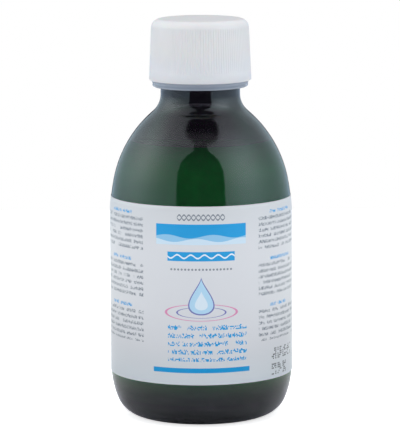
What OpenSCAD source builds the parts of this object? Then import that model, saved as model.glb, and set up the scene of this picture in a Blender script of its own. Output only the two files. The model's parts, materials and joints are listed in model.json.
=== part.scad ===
// Round mouthwash bottle with a wrap label and a two-piece push-and-turn closure.
// Millimetres, +Z up, origin at the centre of the base.

/* [Bottle body] */
// Outer diameter of the straight wall
body_d = 57.5; // [55:0.5:64]
// Height of the straight wall between heel and shoulder
wall_h = 46.9; // [40:0.1:70]
// Thickness of the moulded wall
wall_t = 0.8; // [0.6:0.05:1.1]
// Radius of the long arc that starts the heel
heel_r = 28.5; // [24:0.5:34]
// Sweep of the long heel arc, in degrees
heel_sweep = 21.3; // [16:0.1:27]
// Radius of the short arc that rolls under to the standing ring
foot_r = 8.9; // [7:0.1:11]
// Width of the flat standing ring
ring_w = 1.6; // [1:0.1:3]
// Height of the domed push-up in the base
push_up_h = 4; // [2.5:0.5:7]
// Radius of the long arc that starts the shoulder
shoulder_r = 64.3; // [58:0.1:72]
// Sweep of the long shoulder arc, in degrees
shoulder_sweep = 11.4; // [9:0.1:14]
// Slope at which the shoulder turns into the neck, in degrees from upright
turn_sweep = 49.5; // [46:0.1:54]
// Radius of the hollow where the shoulder meets the neck
cove_r = 7.3; // [5:0.1:9]

/* [Neck finish] */
// Outer diameter of the neck between the threads
neck_d = 25; // [24:0.1:26.5]
// Diameter of the bore through the neck
bore_d = 21.7; // [20:0.1:22]
// Height of the neck from the hollow to the sealing lip
neck_h = 17.8; // [17:0.1:24]
// How far the thread stands out of the neck
thread_depth = 1.15; // [1:0.05:1.3]
// Rise of the thread in one turn
thread_pitch = 3.18; // [3.1:0.01:3.4]
// Number of turns of each thread
thread_turns = 1.75; // [1.25:0.25:1.75]
// Width of the thread's crest
crest_w = 0.85; // [0.7:0.05:0.9]
// Distance from the sealing lip down to the upper end of the neck's thread
thread_drop = 3.5; // [3.2:0.1:3.6]
// How far the retaining bead stands out of the neck
bead_depth = 1.5; // [1.3:0.1:1.6]
// Height of the retaining bead
bead_h = 1.2; // [1:0.1:1.3]

/* [Label] */
// Height of the label's lower edge above the floor
label_z = 14.4; // [13:0.1:18]
// Height of the label
label_h = 55.9; // [44:0.1:58]
// Thickness of the label film
label_t = 0.08; // [0.05:0.01:0.15]
// Gap between the label's two ends at the back
label_seam = 1; // [0.5:0.1:4]

/* [Mouthwash] */
// Height of the liquid's surface above the floor
fill_z = 87.5; // [70:0.5:92]

/* [Inner cap] */
// Least wall of the inner cap, at its top
cap_wall = 0.65; // [0.6:0.05:0.9]
// Wall of the inner cap's skirt below the catch ledge
skirt_wall = 0.65; // [0.6:0.05:0.7]
// Thickness of the inner cap's top
cap_top_t = 1.2; // [1:0.1:1.5]
// Length of the inner cap from its top to its lower edge
cap_h = 13.9; // [13.8:0.1:14]
// Height of the catch ledge above the inner cap's lower edge
ledge_h = 2.7; // [2.5:0.1:3.5]
// Thickness of the liner disc
liner_t = 0.9; // [0.7:0.1:1]
// Number of drive lugs on each of the two caps
lug_count = 12; // [8:1:12]
// Height of a drive lug
lug_h = 1.2; // [1:0.05:1.3]

/* [Outer shell] */
// Height of the outer shell
shell_h = 19.25; // [19:0.05:19.3]
// Thickness of the shell's side wall
shell_t = 0.75; // [0.7:0.05:1]
// Thickness of the shell's top
shell_top_t = 1.2; // [1:0.1:1.5]
// Draft of the shell's side, in degrees
shell_draft = 2.45; // [2.2:0.05:2.8]
// Radius of the rounding at the shell's top edge
corner_r = 3; // [2.7:0.1:3.2]
// Number of fine grip grooves
groove_count = 120; // [90:6:126]
// Depth of a grip groove
groove_depth = 0.16; // [0.1:0.02:0.2]
// Height of the plain band below the grooves
plain_h = 3.05; // [2.5:0.05:5]
// Thickness of the thinned lip at the shell's lower edge
lip_t = 0.6; // [0.5:0.05:0.65]
// Number of spring fingers under the shell's top
finger_count = 6; // [4:1:6]

/* [Tamper band] */
// Height of the tamper band
band_h = 3.3; // [3.1:0.1:3.5]
// Number of bridges that join the new band to the inner cap
bridge_count = 8; // [6:1:12]

/* [Hidden] */
$fn = 96;

// One overrun for every cut, and the depth that an added feature is sunk into its wall
over = 1;
sink = 0.35;
thread_sink = 0.15;

// Turn that keeps the start line of the liquid's round surface away from the bottle's
seam_turn = 30;

// Clearances between the pieces
glue_gap = 0.03;
liquid_gap = 0.03;
thread_gap = 0.15;
crest_gap = 0.25;
shell_gap = 0.2;
band_gap = 0.2;
bridge_gap = 0.1;
lug_gap = 0.2;
drive_gap = 0.15;
catch_gap = 0.3;
press_gap = 0.1;
liner_gap = 0.3;
rim_gap = 0.05;

// Outline of the body: tangent arcs, given by their centres
body_r = body_d / 2;
neck_r = neck_d / 2;
bore_r = bore_d / 2;
wall_z0 = foot_r + (heel_r - foot_r) * sin(heel_sweep);
wall_z1 = wall_z0 + wall_h;
ring_r = body_r - heel_r + (heel_r - foot_r) * cos(heel_sweep);
turn_r = (body_r - neck_r - shoulder_r * (1 - cos(shoulder_sweep)) - cove_r * (1 - cos(turn_sweep)))
    / (cos(shoulder_sweep) - cos(turn_sweep));
foot_c = [ring_r, foot_r];
heel_c = [body_r - heel_r, wall_z0];
shoulder_c = [body_r - shoulder_r, wall_z1];
turn_c = shoulder_c + (shoulder_r - turn_r) * [cos(shoulder_sweep), sin(shoulder_sweep)];
cove_c = turn_c + (turn_r + cove_r) * [cos(turn_sweep), sin(turn_sweep)];
neck_z = cove_c[1];
lip_z = neck_z + neck_h;
reach_share = 1.5;

// Push-up: a circle through the inner edge of the standing ring
dome_edge_r = ring_r - ring_w;
dome_r = (dome_edge_r * dome_edge_r + push_up_h * push_up_h) / (2 * push_up_h);

// Neck finish
bore_lead = 1;
lip_chamfer = 0.35;
bead_r = neck_r + bead_depth;
bead_land = 0.4;

// Threads of the neck and of the inner cap, half a pitch apart
flank = 30;
thread_steps = 40;
fade_turns = 0.12;
fade_share = 0.04;
thread_r = neck_r + thread_depth;
thread_z = lip_z - thread_drop - thread_turns * thread_pitch;
cap_thread_z = thread_z - thread_pitch / 2;

// Inner cap and liner, upwards from the sealing lip
liner_z1 = lip_z + liner_t;
cap_z1 = liner_z1 + cap_top_t;
cap_z0 = cap_z1 - cap_h;
ledge_z = cap_z0 + ledge_h;
cap_bore_r = thread_r + thread_gap;
cap_crest_r = neck_r + crest_gap;
cap_top_r = cap_bore_r + cap_wall;
skirt_r = cap_bore_r + skirt_wall;
cap_chamfer = 0.6;
cap_lead = 0.25;
liner_r = cap_bore_r - liner_gap;
rim_w = 0.55;
rim_h = 0.45;
rim_z1 = lip_z - rim_gap;

// Push travel and drive lugs
push_travel = lug_h + press_gap;
lug_space = 2 * lug_h + lug_gap;
lug_r0 = 9.3;
lug_r1 = 12.6;
lug_w = 2;
lug_ramp = 0.8;

// Outer shell: its side clears the inner cap at both ends of the push travel
shell_under_z = cap_z1 + lug_space;
shell_z1 = shell_under_z + shell_top_t;
shell_z0 = shell_z1 - shell_h;
function cap_side_r(z) = cap_top_r + (cap_z1 - z) * tan(shell_draft);
function shell_in_r(z) = cap_side_r(z - push_travel) + shell_gap;
function shell_out_r(z) = shell_in_r(z) + shell_t;
corner_c = [shell_out_r(shell_z1 - corner_r) - corner_r / cos(shell_draft), shell_z1 - corner_r];
under_r = 1.6;
under_c = [shell_in_r(shell_under_z - under_r) - under_r / cos(shell_draft), shell_under_z - under_r];
lip_h = 2.2;
lip_in_r = shell_out_r(shell_z0) - lip_t;
edge_chamfer = 0.2;
catch_r = skirt_r + shell_gap;
catch_h = 0.4;
catch_ramp = 0.35;
catch_z1 = ledge_z - catch_gap;

// Grip grooves
groove_r = 0.3;
groove_z = shell_z0 + plain_h;

// Spring fingers, drawn in their pressed shape
finger_r = 4.6;
finger_w = 2;
finger_l = 4.4;
finger_t = 0.5;
finger_root = 0.8;

// Retaining bead of the neck and tamper band below it
bead_z1 = cap_z0 - band_gap;
bead_z0 = bead_z1 - bead_h;
bridge_h = 0.25;
bridge_w = 0.6;
bridge_t = 0.35;
bridge_inset = 0.05;
band_z1 = cap_z0 - bridge_gap - bridge_h;
band_z0 = band_z1 - band_h;
band_in_r = bead_r + band_gap;
band_top_r = lip_in_r - band_gap;
band_taper = 0.2;
band_step = 0.1;
band_cover = 0.15;
band_top_inset = 0.35;
band_round = 0.35;
band_line_z = band_z0 + band_h * 0.4;
hook_gap = 0.7;
hook_t = 0.6;
hook_ramp = 1;
hook_z1 = bead_z0 - catch_gap;

function on_arc(c, r, a) = c + r * [cos(a), sin(a)];

// Slice of a disc from one direction to another
module slice(c, r, a0, a1) {
    intersection() {
        translate(c) circle(r);
        polygon([c, on_arc(c, reach_share * r, a0), on_arc(c, reach_share * r, a1)]);
    }
}

// Half outline of the body, drawn inwards by inset and cut off level at top_z
module outline(inset, top_z) {
    difference() {
        intersection() {
            union() {
                polygon([
                    [0, inset],
                    [ring_r, inset],
                    on_arc(foot_c, foot_r - inset, -heel_sweep),
                    [body_r - inset, wall_z0],
                    [body_r - inset, wall_z1],
                    on_arc(shoulder_c, shoulder_r - inset, shoulder_sweep),
                    on_arc(turn_c, turn_r - inset, turn_sweep),
                    [neck_r - inset, neck_z],
                    [neck_r - inset, lip_z + over],
                    [0, lip_z + over]
                ]);
                slice(foot_c, foot_r - inset, -90, -heel_sweep);
                slice(heel_c, heel_r - inset, -heel_sweep, 0);
                slice(shoulder_c, shoulder_r - inset, 0, shoulder_sweep);
                slice(turn_c, turn_r - inset, shoulder_sweep, turn_sweep);
            }
            translate([0, inset]) square([body_d, top_z - inset]);
        }
        slice(cove_c, cove_r + inset, 180, 180 + turn_sweep);
        translate([0, push_up_h - dome_r]) circle(dome_r + inset);
    }
}

// Helical ridge of trapezoid section whose ends fade into the wall that carries it
module thread_ridge(base_r, crest_r, z0) {
    steps = ceil(thread_turns * thread_steps);
    inward = crest_r < base_r;
    base_w = crest_w + 2 * abs(crest_r - base_r) * tan(flank);
    rings = [
        for (i = [0:steps])
            let (
                turn = thread_turns * i / steps,
                rise = min(1, turn / fade_turns, (thread_turns - turn) / fade_turns),
                top_r = base_r + (crest_r - base_r) * max(fade_share, rise),
                in = inward ? [top_r, crest_w / 2] : [base_r, base_w / 2],
                out = inward ? [base_r, base_w / 2] : [top_r, crest_w / 2],
                z = z0 + turn * thread_pitch,
                dir = [cos(360 * turn), sin(360 * turn)]
            )
            [for (p = [[in[0], -in[1]], [out[0], -out[1]], out, in]) [p[0] * dir[0], p[0] * dir[1], z + p[1]]]
    ];
    last = 4 * steps;
    sides = [
        for (i = [0:steps - 1], k = [0:3])
            let (a = 4 * i + k, b = 4 * i + (k + 1) % 4)
            each [[a, b, b + 4], [a, b + 4, a + 4]]
    ];
    ends = [[3, 2, 1], [3, 1, 0], [last, last + 1, last + 2], [last, last + 2, last + 3]];
    polyhedron([for (ring = rings) each ring], concat(sides, ends));
}

module bead_profile() {
    polygon([
        [neck_r - sink, bead_z0],
        [bead_r, bead_z0],
        [bead_r, bead_z0 + bead_land],
        [neck_r, bead_z1],
        [neck_r - sink, bead_z1]
    ]);
}

// Hollow of the neck, from the shoulder's thin wall to the thicker finish
module bore_profile() {
    polygon([
        [0, neck_z],
        [neck_r - wall_t, neck_z],
        [neck_r - wall_t, neck_z + bore_lead],
        [bore_r, neck_z + 2 * bore_lead],
        [bore_r, lip_z - lip_chamfer],
        [bore_r + lip_chamfer + over, lip_z + over],
        [0, lip_z + over]
    ]);
}

module bottle() {
    color("darkslategray") {
        rotate_extrude() {
            difference() {
                union() {
                    outline(0, lip_z);
                    bead_profile();
                }
                outline(wall_t, neck_z + bore_lead);
                bore_profile();
                polygon([
                    [neck_r - lip_chamfer - over, lip_z + over],
                    [neck_r + over, lip_z - lip_chamfer - over],
                    [neck_r + over, lip_z + over]
                ]);
            }
        }
        thread_ridge(neck_r - thread_sink, thread_r, thread_z);
    }
}

module mouthwash() {
    color("darkgreen") rotate(seam_turn) rotate_extrude() outline(wall_t + liquid_gap, fill_z);
}

module label() {
    seam_angle = 360 * label_seam / (PI * body_d);
    color("gainsboro") rotate_extrude(start = 90 + seam_angle / 2, angle = 360 - seam_angle) {
        intersection() {
            difference() {
                outline(-glue_gap - label_t, lip_z);
                outline(-glue_gap, lip_z);
            }
            translate([neck_r, label_z]) square([body_d, label_h]);
        }
    }
}

// Drive lug: an upright face on one side, a ramp on the other
module lug() {
    rotate([90, 0, 90]) linear_extrude(lug_r1 - lug_r0) {
        polygon([[0, -sink], [lug_w, -sink], [lug_w, 0], [lug_w - lug_ramp, lug_h], [0, lug_h]]);
    }
}

// Leaf spring that slants down from its root, drawn as far as it goes when pressed
module finger() {
    rotate([90, 0, 90]) linear_extrude(finger_w) {
        polygon([
            [-finger_root, sink],
            [0, sink],
            [finger_l, finger_t - lug_h],
            [finger_l, -lug_h],
            [-finger_root, -finger_t]
        ]);
    }
}

module shell_profile() {
    difference() {
        union() {
            polygon([
                [0, shell_z0],
                [shell_out_r(shell_z0) - edge_chamfer, shell_z0],
                [shell_out_r(shell_z0 + edge_chamfer), shell_z0 + edge_chamfer],
                on_arc(corner_c, corner_r, shell_draft),
                [corner_c[0], shell_z1],
                [0, shell_z1]
            ]);
            slice(corner_c, corner_r, shell_draft, 90);
        }
        difference() {
            union() {
                polygon([
                    [0, shell_z0 - over],
                    [lip_in_r, shell_z0 - over],
                    [lip_in_r, shell_z0 + lip_h],
                    [shell_in_r(shell_z0 + lip_h), shell_z0 + lip_h + lip_in_r - shell_in_r(shell_z0 + lip_h)],
                    on_arc(under_c, under_r, shell_draft),
                    [under_c[0], shell_under_z],
                    [0, shell_under_z]
                ]);
                slice(under_c, under_r, shell_draft, 90);
            }
            polygon([
                [catch_r + sink + over, catch_z1],
                [catch_r, catch_z1],
                [catch_r, catch_z1 - catch_h],
                [catch_r + sink + over, catch_z1 - catch_h - sink - over]
            ]);
        }
    }
}

module outer_shell() {
    color("whitesmoke") {
        difference() {
            rotate_extrude() shell_profile();
            for (i = [0:groove_count - 1]) {
                rotate(i * 360 / groove_count)
                    translate([shell_out_r(groove_z) + groove_r - groove_depth, 0, groove_z])
                        rotate([0, -shell_draft, 0])
                            cylinder(r = groove_r, h = shell_z1 - groove_z);
            }
        }
        for (i = [0:lug_count - 1]) {
            rotate(i * 360 / lug_count)
                translate([lug_r0, -drive_gap, shell_under_z])
                    rotate([180, 0, 0])
                        lug();
        }
        for (i = [0:finger_count - 1]) {
            rotate(i * 360 / finger_count) translate([finger_r, 0, shell_under_z]) finger();
        }
    }
}

module cap_profile() {
    polygon([
        [0, liner_z1],
        [cap_bore_r, liner_z1],
        [cap_bore_r, rim_z1],
        [cap_bore_r - rim_w, rim_z1],
        [cap_bore_r - rim_w, rim_z1 - rim_h / 2],
        [cap_bore_r, rim_z1 - rim_h],
        [cap_bore_r, cap_z0 + cap_lead],
        [cap_bore_r + cap_lead, cap_z0],
        [skirt_r, cap_z0],
        [skirt_r, ledge_z],
        [cap_side_r(ledge_z), ledge_z],
        [cap_side_r(cap_z1 - cap_chamfer), cap_z1 - cap_chamfer],
        [cap_top_r - cap_chamfer, cap_z1],
        [0, cap_z1]
    ]);
}

module inner_cap() {
    color("lightsteelblue") {
        rotate_extrude() cap_profile();
        thread_ridge(cap_bore_r + thread_sink, cap_crest_r, cap_thread_z);
        for (i = [0:lug_count - 1]) {
            rotate(i * 360 / lug_count) translate([lug_r0, 0, cap_z1]) lug();
        }
    }
}

module liner() {
    color("white") translate([0, 0, lip_z]) cylinder(r = liner_r, h = liner_t);
}

// Section of the band: a waist line outside, and inside the hook that snaps under the bead
module band_profile() {
    polygon([
        [band_in_r, band_z1],
        [band_in_r, hook_z1],
        [neck_r + hook_gap, hook_z1],
        [neck_r + hook_gap, hook_z1 - hook_t],
        [band_in_r - band_step, hook_z1 - hook_t - hook_ramp + band_step],
        [band_in_r - band_step, band_z0],
        [band_top_r - band_taper - band_step - band_round, band_z0],
        [band_top_r - band_taper - band_step, band_z0 + band_round],
        [band_top_r - band_taper - band_step, band_line_z - band_step],
        [band_top_r - band_taper, band_line_z],
        [band_top_r, shell_z0 + band_cover],
        [band_top_r - band_top_inset, band_z1]
    ]);
}

module tamper_band() {
    color("lightsteelblue") {
        rotate_extrude() band_profile();
        for (i = [0:bridge_count - 1]) {
            rotate(i * 360 / bridge_count)
                translate([band_in_r + bridge_inset, -bridge_w / 2, band_z1 - sink])
                    cube([bridge_t, bridge_w, bridge_h + sink]);
        }
    }
}

bottle();
mouthwash();
label();
outer_shell();
inner_cap();
liner();
tamper_band();
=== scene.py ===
# %% [markdown]
# A small mouthwash bottle: a dark clear body full of green liquid, a printed wrap label and a white
# two-piece screw cap over a tamper band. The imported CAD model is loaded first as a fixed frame. It
# carries the joints, so each piece that is made here is built in its place and then rides on a CAD body.

# %% Load the frame
import json
import math
from functools import partial

import bpy
from mathutils import Matrix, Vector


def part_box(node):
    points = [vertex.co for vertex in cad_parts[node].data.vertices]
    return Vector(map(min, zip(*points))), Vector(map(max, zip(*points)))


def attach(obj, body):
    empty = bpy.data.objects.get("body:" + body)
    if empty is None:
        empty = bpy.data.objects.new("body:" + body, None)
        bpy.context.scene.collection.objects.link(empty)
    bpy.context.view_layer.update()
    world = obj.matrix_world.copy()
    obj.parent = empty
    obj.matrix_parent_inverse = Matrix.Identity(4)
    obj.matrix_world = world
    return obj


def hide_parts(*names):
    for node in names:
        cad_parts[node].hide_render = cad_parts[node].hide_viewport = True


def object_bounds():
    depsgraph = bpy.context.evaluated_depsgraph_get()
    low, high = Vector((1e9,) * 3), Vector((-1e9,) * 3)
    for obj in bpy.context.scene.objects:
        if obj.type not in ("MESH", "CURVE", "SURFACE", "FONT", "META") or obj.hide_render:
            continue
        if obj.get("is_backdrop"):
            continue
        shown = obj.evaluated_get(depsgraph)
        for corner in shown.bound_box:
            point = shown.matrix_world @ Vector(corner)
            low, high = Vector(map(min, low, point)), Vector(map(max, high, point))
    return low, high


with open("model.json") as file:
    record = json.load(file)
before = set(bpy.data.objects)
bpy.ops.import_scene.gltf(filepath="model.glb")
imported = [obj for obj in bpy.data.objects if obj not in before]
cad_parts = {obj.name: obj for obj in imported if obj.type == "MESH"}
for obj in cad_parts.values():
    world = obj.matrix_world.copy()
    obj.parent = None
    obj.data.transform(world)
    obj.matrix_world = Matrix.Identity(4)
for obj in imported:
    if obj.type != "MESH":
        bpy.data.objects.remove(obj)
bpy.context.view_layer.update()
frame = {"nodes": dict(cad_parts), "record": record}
box = {name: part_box(name) for name in frame["nodes"]}
MM = 0.001
print("pieces of the frame:", sorted(box))

# %% [markdown]
# The camera stands a metre away and a little above the cap, with a long lens, as for a catalogue
# picture. A long lens keeps the upright walls nearly parallel. The camera is tipped down by some
# eight degrees, which is why the label's edges show as shallow curves.

# %% Camera
CAMERA_PLACE = (0, -1.030, 0.2141)
CAMERA_DOWN = 8.34
CAMERA_ROLL = -0.28
CAMERA_LENS = 273.27
CAMERA_SHIFT = -0.9 / 433

bpy.ops.object.select_all(action="DESELECT")
bpy.ops.object.camera_add(location=CAMERA_PLACE)
camera = bpy.context.object
camera.name = "catalogue_camera"
tilt = Matrix.Rotation(math.radians(90 - CAMERA_DOWN), 4, "X")
roll = Matrix.Rotation(math.radians(CAMERA_ROLL), 4, "Z")
camera.rotation_euler = (tilt @ roll).to_euler()
camera.data.lens = CAMERA_LENS
camera.data.sensor_width = 36
camera.data.shift_x = CAMERA_SHIFT
bpy.context.scene.camera = camera
bpy.context.scene.view_settings.view_transform = "Standard"
print("camera looks down by", CAMERA_DOWN, "degrees from", CAMERA_PLACE)

# %% [markdown]
# The studio and every finish below are small trees of shader nodes. One function adds a node with
# its settings and its links, which reads shorter than many lines of links. In each tree's own cell,
# add stands for add_node in that tree.

# %% Adding nodes
def feed(node, inputs):
    """Fills a node's inputs, given as (input, value) pairs.

    A value may be a socket to link from, or a node, which stands for its first output in use.
    """
    for key, value in inputs:
        if isinstance(value, bpy.types.Node):
            value = next(output for output in value.outputs if output.enabled)
        if isinstance(value, bpy.types.NodeSocket):
            node.id_data.links.new(value, node.inputs[key])
        else:
            node.inputs[key].default_value = value


def add_node(tree, kind, inputs=(), **settings):
    """Adds a node with its settings and its inputs."""
    node = tree.nodes.new(kind)
    for name, value in settings.items():
        setattr(node, name, value)
    feed(node, inputs)
    return node


print("nodes are added by", add_node.__name__)

# %% [markdown]
# The studio is a world shader. Two large softboxes stand left and right of the bottle, each
# brightest in its middle, over an even side light. They are worked out from the angle between a
# ray and the softbox's middle, so that they fade out softly, and below the horizon it gets dim.

# %% Softboxes
SIDE_LEVEL, SIDE_TINT = 0.62, (1.00, 1.10, 1.16)
DIM_BELOW, DIM_FROM = (0.50, 0.68, 0.86, 1), -12.0
SOFTBOXES = [
    {"azimuth": -94.0, "rise": 28.0, "spread": 30.0, "level": 1.35, "tint": (1.00, 1.01, 1.00)},
    {"azimuth": 68.0, "rise": 29.0, "spread": 31.0, "level": 1.36, "tint": (0.96, 1.02, 1.10)},
]


def toward(azimuth, rise):
    """Unit direction: azimuth 0 is the front, -Y, and 90 is +X."""
    a, e = math.radians(azimuth), math.radians(rise)
    return (math.sin(a) * math.cos(e), -math.cos(a) * math.cos(e), math.sin(e))


world = bpy.data.worlds.new("studio")
bpy.context.scene.world = world
world.use_nodes = True
world.node_tree.nodes.clear()
add = partial(add_node, world.node_tree)
direction = add("ShaderNodeTexCoord").outputs["Generated"]
height = add("ShaderNodeSeparateXYZ", [(0, direction)]).outputs["Z"]
light = [SIDE_LEVEL * share for share in SIDE_TINT]
for softbox in SOFTBOXES:
    middle = toward(softbox["azimuth"], softbox["rise"])
    nearness = add("ShaderNodeVectorMath", [(0, direction), (1, middle)], operation="DOT_PRODUCT")
    angle = add("ShaderNodeMath", [(0, nearness)], operation="ARCCOSINE")
    share = add("ShaderNodeMath", [(0, angle), (1, math.radians(softbox["spread"]))], operation="DIVIDE")
    square = add("ShaderNodeMath", [(0, share), (1, 2.0)], operation="POWER")
    glow = add("ShaderNodeMath", [(0, 1 / math.e), (1, square)], operation="POWER")
    colour = add("ShaderNodeVectorMath",
                 [(0, [softbox["level"] * t for t in softbox["tint"]]), ("Scale", glow)], operation="SCALE")
    light = add("ShaderNodeVectorMath", [(0, light), (1, colour)])

below = add("ShaderNodeMapRange",
            [("Value", height), ("From Min", math.sin(math.radians(DIM_FROM))), ("From Max", 0.0)])
light = add("ShaderNodeMix", [("Factor", below), ("A", DIM_BELOW), ("B", light)], data_type="RGBA")
print("studio has", len(SOFTBOXES), "softboxes")

# %% [markdown]
# Between the softboxes, in front, is the dark gap where the camera stands, and overhead the room is
# dark too. A dark glossy bottle shows just this: two veils of light with a dark shape between them.
# The gap's width changes with its height. A pale dull surface is lit from the front all the same,
# so only mirrored rays see the gap as dark.

# %% Dark gap
GAP_SHAPE = [(0.0, 31.0), (0.17, 32.0), (0.50, 34.0), (0.64, 32.0), (0.73, 25.0), (0.79, 15.0)]
GAP_EDGE = 1.5
OVERHEAD = {"azimuth": 10.0, "rise": 77.0, "spread": 19.0, "edge": 3.0}
GAP_SEEN = (0.05, 0.035, 0.065, 1)
GAP_FILL = (0.74, 0.79, 0.86, 1)


def fill_ramp(ramp, stops):
    """Gives a colour ramp its stops, as (place, colour) pairs from low to high."""
    while len(ramp.elements) < len(stops):
        ramp.elements.new(0.5)
    for stop, (place, colour) in zip(ramp.elements, stops):
        stop.position = place
        stop.color = colour


flat = add("ShaderNodeVectorMath", [(0, direction), (1, (1, 1, 0))], operation="MULTIPLY")
flat = add("ShaderNodeVectorMath", [(0, flat)], operation="NORMALIZE")
ahead = add("ShaderNodeVectorMath", [(0, flat), (1, toward(0, 0))], operation="DOT_PRODUCT")
from_front = add("ShaderNodeMath", [(0, ahead)], operation="ARCCOSINE")
gap_width = add("ShaderNodeValToRGB", [(0, height)])
fill_ramp(gap_width.color_ramp, [(z, (*[math.radians(half_angle)] * 3, 1)) for z, half_angle in GAP_SHAPE])
inside_gap = add("ShaderNodeMath", [(0, gap_width), (1, from_front)], operation="SUBTRACT")
in_gap = add("ShaderNodeMapRange",
             [("Value", inside_gap), ("From Min", math.radians(-GAP_EDGE)),
              ("From Max", math.radians(GAP_EDGE))], interpolation_type="SMOOTHSTEP")
top = toward(OVERHEAD["azimuth"], OVERHEAD["rise"])
near_top = add("ShaderNodeVectorMath", [(0, direction), (1, top)], operation="DOT_PRODUCT")
in_top = add("ShaderNodeMapRange",
             [("Value", near_top),
              ("From Min", math.cos(math.radians(OVERHEAD["spread"] + OVERHEAD["edge"]))),
              ("From Max", math.cos(math.radians(OVERHEAD["spread"] - OVERHEAD["edge"])))],
             interpolation_type="SMOOTHSTEP")
dark = add("ShaderNodeMath", [(0, in_gap), (1, in_top)], operation="MAXIMUM")
rays = add("ShaderNodeLightPath")
mirrored = add("ShaderNodeMath",
               [(0, rays.outputs["Is Glossy Ray"]), (1, rays.outputs["Is Transmission Ray"])],
               operation="SUBTRACT", use_clamp=True)
gap_light = add("ShaderNodeMix", [("Factor", mirrored), ("A", GAP_FILL), ("B", GAP_SEEN)], data_type="RGBA")
studio = add("ShaderNodeMix", [("Factor", dark), ("A", light), ("B", gap_light)], data_type="RGBA")
print("the gap is", GAP_SHAPE[0][1], "degrees to each side at the horizon")

# %% [markdown]
# The cap and the label are pale and dull, and softboxes alone would leave them blotchy. So dull
# rays see the studio evened out by a plain light, and a bright ceiling for the cap's top.

# %% Light for dull surfaces
CEILING, CEILING_FROM, CEILING_FULL = 1.8, 0.85, 0.97
PLAIN_LIGHT, PLAIN_SHARE = (0.765, 0.78, 0.80, 1), 0.7

ceiling = add("ShaderNodeMapRange",
              [("Value", height), ("From Min", CEILING_FROM), ("From Max", CEILING_FULL),
               ("To Max", CEILING)], interpolation_type="SMOOTHSTEP")
dull_only = add("ShaderNodeMath", [(0, 1.0), (1, mirrored)], operation="SUBTRACT")
from_above = add("ShaderNodeMath", [(0, dull_only), (1, ceiling)], operation="MULTIPLY")
plain_share = add("ShaderNodeMath", [(0, dull_only), (1, PLAIN_SHARE)], operation="MULTIPLY")
evened = add("ShaderNodeMix", [("Factor", plain_share), ("A", studio), ("B", PLAIN_LIGHT)], data_type="RGBA")
lit_above = add("ShaderNodeVectorMath", [(0, evened), (1, from_above)])
print("dull surfaces get", PLAIN_SHARE, "of their light from the plain room")

# %% [markdown]
# A dark card stands behind the bottle. Without it the white ground would shine through the neck.
# Mirrored light is tinted by the height that it comes from, as walls and floor tint a real room.
# The camera itself sees plain white, because the picture has a white ground.

# %% Card, tint and background
CARD_HALF_ANGLE, CARD_TOP, CARD_EDGE = 13.0, 55.0, 4.0
CARD_SEEN = (0.02, 0.018, 0.025, 1)
VEIL_TINT = [
    (-0.2, (0.86, 0.86, 0.98)),
    (0.06, (1.00, 1.15, 1.24)),
    (0.47, (1.02, 1.10, 1.12)),
    (0.60, (0.99, 1.13, 1.12)),
    (0.70, (0.96, 1.05, 1.05)),
    (0.85, (0.93, 0.90, 0.96)),
]

behind = add("ShaderNodeMapRange",
             [("Value", from_front), ("From Min", math.radians(180 - CARD_HALF_ANGLE - CARD_EDGE)),
              ("From Max", math.radians(180 - CARD_HALF_ANGLE + CARD_EDGE))], interpolation_type="SMOOTHSTEP")
below_top = add("ShaderNodeMapRange",
                [("Value", height), ("From Min", math.sin(math.radians(CARD_TOP + CARD_EDGE))),
                 ("From Max", math.sin(math.radians(CARD_TOP - CARD_EDGE)))], interpolation_type="SMOOTHSTEP")
on_card = add("ShaderNodeMath", [(0, behind), (1, below_top)], operation="MULTIPLY")
veil_low = VEIL_TINT[0][0]
from_low = add("ShaderNodeMapRange", [("Value", height), ("From Min", veil_low)])
veil = add("ShaderNodeValToRGB", [(0, from_low)])
fill_ramp(veil.color_ramp, [((z - veil_low) / (1 - veil_low), (*tint, 1)) for z, tint in VEIL_TINT])
tinted = add("ShaderNodeMix", [("Factor", mirrored), ("A", lit_above), ("B", veil)],
             data_type="RGBA", blend_type="MULTIPLY")
backed = add("ShaderNodeMix", [("Factor", on_card), ("A", tinted), ("B", CARD_SEEN)], data_type="RGBA")
seen = add("ShaderNodeMix", [("Factor", rays.outputs["Is Camera Ray"]), ("A", backed), ("B", (1, 1, 1, 1))],
           data_type="RGBA")
sky = add("ShaderNodeBackground", [("Color", seen), ("Strength", 1.0)])
add("ShaderNodeOutputWorld", [("Surface", sky)])
print("the studio has", len(world.node_tree.nodes), "nodes")

# %% [markdown]
# A finish starts from what the real material is: its common colour, its roughness and its index of
# refraction. Colours are written as hex codes, as a painter does, and turned to linear light here.

# %% Starting a finish
def srgb(code):
    """Linear colour of a hex code such as #20c0ff."""
    parts = [int(code[i:i + 2], 16) / 255 for i in (1, 3, 5)]
    return (*[c / 12.92 if c <= 0.04045 else ((c + 0.055) / 1.055) ** 2.4 for c in parts], 1)


def new_finish(name, colour, roughness, ior):
    """Starts a material from its common colour, roughness and index of refraction."""
    finish = bpy.data.materials.new(name)
    finish.use_nodes = True
    shader = finish.node_tree.nodes["Principled BSDF"]
    shader.inputs["Base Color"].default_value = srgb(colour)
    shader.inputs["Roughness"].default_value = roughness
    shader.inputs["IOR"].default_value = ior
    return finish, partial(add_node, finish.node_tree), shader


def give(piece, finish):
    """Makes a piece of one finish."""
    piece.data.materials.clear()
    piece.data.materials.append(finish)
    print(piece.name, "is of", finish.name)


print("mid grey is", round(srgb("#808080")[0], 3), "in linear light")

# %% [markdown]
# The floor is a sheet of plain white paper. Seen by the camera it also glows a little, so that it
# meets the white background without a line, while the soft shadow under the bottle stays. In the
# bottle's reflections it gets painted shade, greyer near the middle, where the bottle keeps the
# light off it.

# %% Floor
FLOOR_SIZE, FLOOR_GLOW = 0.9, 0.72
SHADE_NEAR, SHADE_FAR = 10 * MM, 70 * MM

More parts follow.
